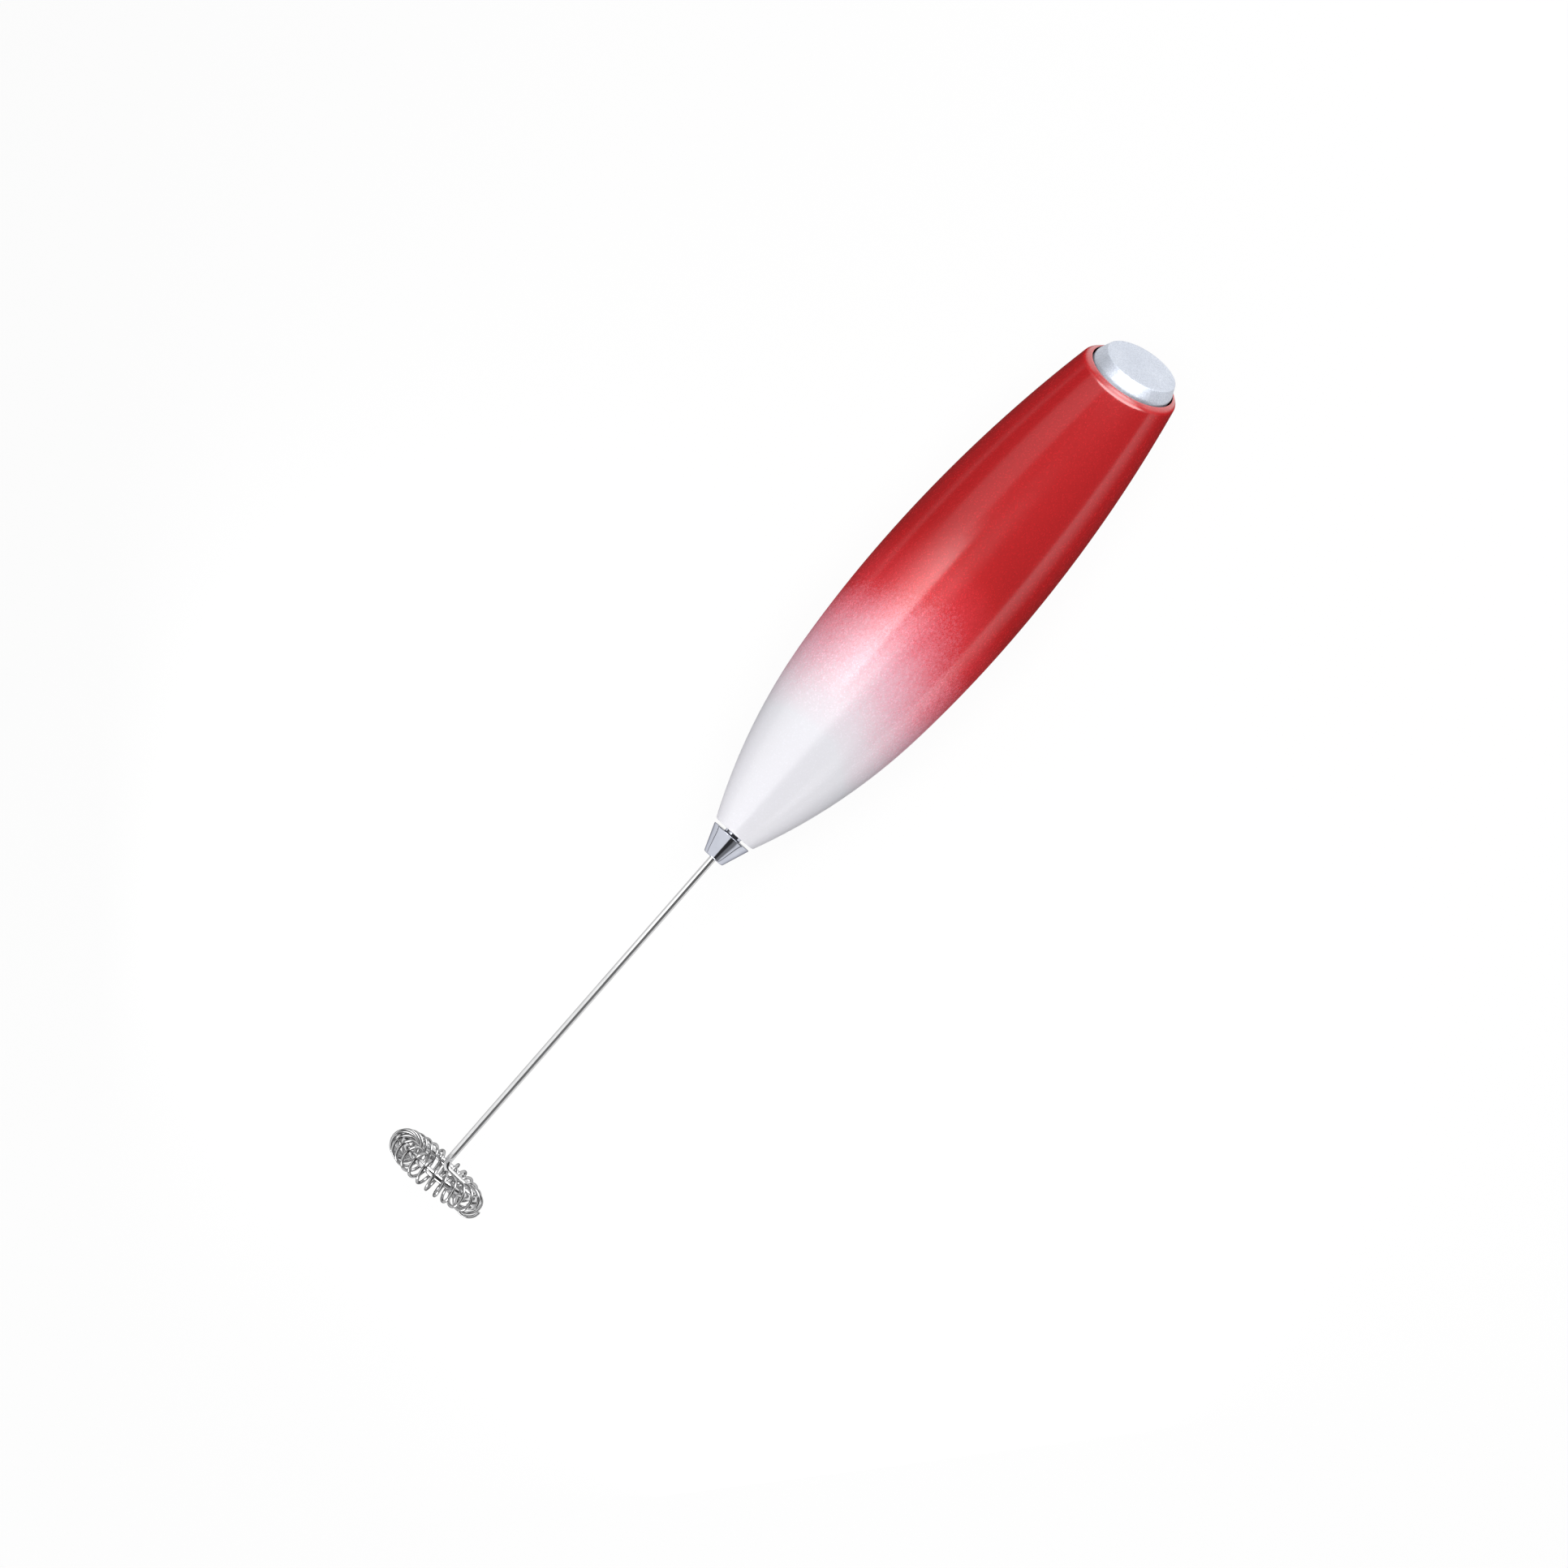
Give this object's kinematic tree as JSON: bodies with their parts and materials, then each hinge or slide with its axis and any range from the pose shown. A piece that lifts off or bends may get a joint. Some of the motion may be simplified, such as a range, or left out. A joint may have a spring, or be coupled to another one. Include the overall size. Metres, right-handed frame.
{
  "type": "milk frother",
  "caption": "Handheld battery milk frother: tapered handle with a slanted push button, clip-in battery cover, motor, and a spinning wire whisk with a coil ring.",
  "frame": {"origin": "centre of the handle's nose face, on the whisk's spin axis", "axes": "+X along the spin axis from the whisk to the button, +Z to the front, which the button slants towards; the part lies on its back, on the battery cover"},
  "size_m": [0.245, 0.036, 0.0354],
  "materials": {
    "handle_paint": "gloss",
    "button_silver": "satin",
    "chrome_collar": "polished",
    "whisk_steel": "bright",
    "frame_plastic": "matte",
    "screw_steel": "zinc plated",
    "cell_wrap": "satin wrap",
    "contact_nickel": "nickel plated",
    "board_laminate": "satin",
    "switch_plastic": "matte",
    "motor_steel": "zinc plated",
    "motor_plastic": "matte",
    "magnet_ferrite": "matte",
    "bush_bronze": "sintered",
    "winding_copper": "enamelled wire",
    "core_iron": "bare"
  },
  "bodies": {
    "handle": {"front_housing": "handle_paint", "inner_frame": "frame_plastic", "frame_screws": "screw_steel", "cell_left": "cell_wrap", "cell_right": "cell_wrap", "spring_contact_lower": "contact_nickel", "plate_contact_lower": "contact_nickel", "spring_contact_upper": "contact_nickel", "plate_contact_upper": "contact_nickel", "switch_board": "board_laminate", "switch_body": "switch_plastic", "motor_can": "motor_steel", "motor_end_cap": "motor_plastic", "motor_magnets": "magnet_ferrite", "motor_brushes": "bush_bronze", "motor_front_bush": "bush_bronze", "motor_rear_bush": "bush_bronze", "nose_bush": "bush_bronze"},
    "button": {"button_cap": "button_silver", "switch_plunger": "motor_plastic"},
    "rotor": {"motor_shaft": "screw_steel", "armature_core": "core_iron", "armature_windings": "winding_copper", "commutator": "winding_copper", "drive_collar": "chrome_collar", "whisk_wire": "whisk_steel", "whisk_coil": "whisk_steel"},
    "cover": {"battery_cover": "handle_paint"}
  },
  "joints": [
    {"name": "button_press", "type": "slide", "parent": "handle", "child": "button", "axis": [-1, 0, 0], "range_m": [0, 0.0018], "stiffness_N_per_m": 600, "springref_m": -0.002},
    {"name": "whisk_spin", "type": "hinge", "parent": "handle", "child": "rotor", "pos_m": [0, 0, 0], "axis": [1, 0, 0], "continuous": true},
    {"name": "cover_lift", "type": "slide", "parent": "handle", "child": "cover", "axis": [0, 0, -1], "range_m": [0, 0.03]}
  ]
}
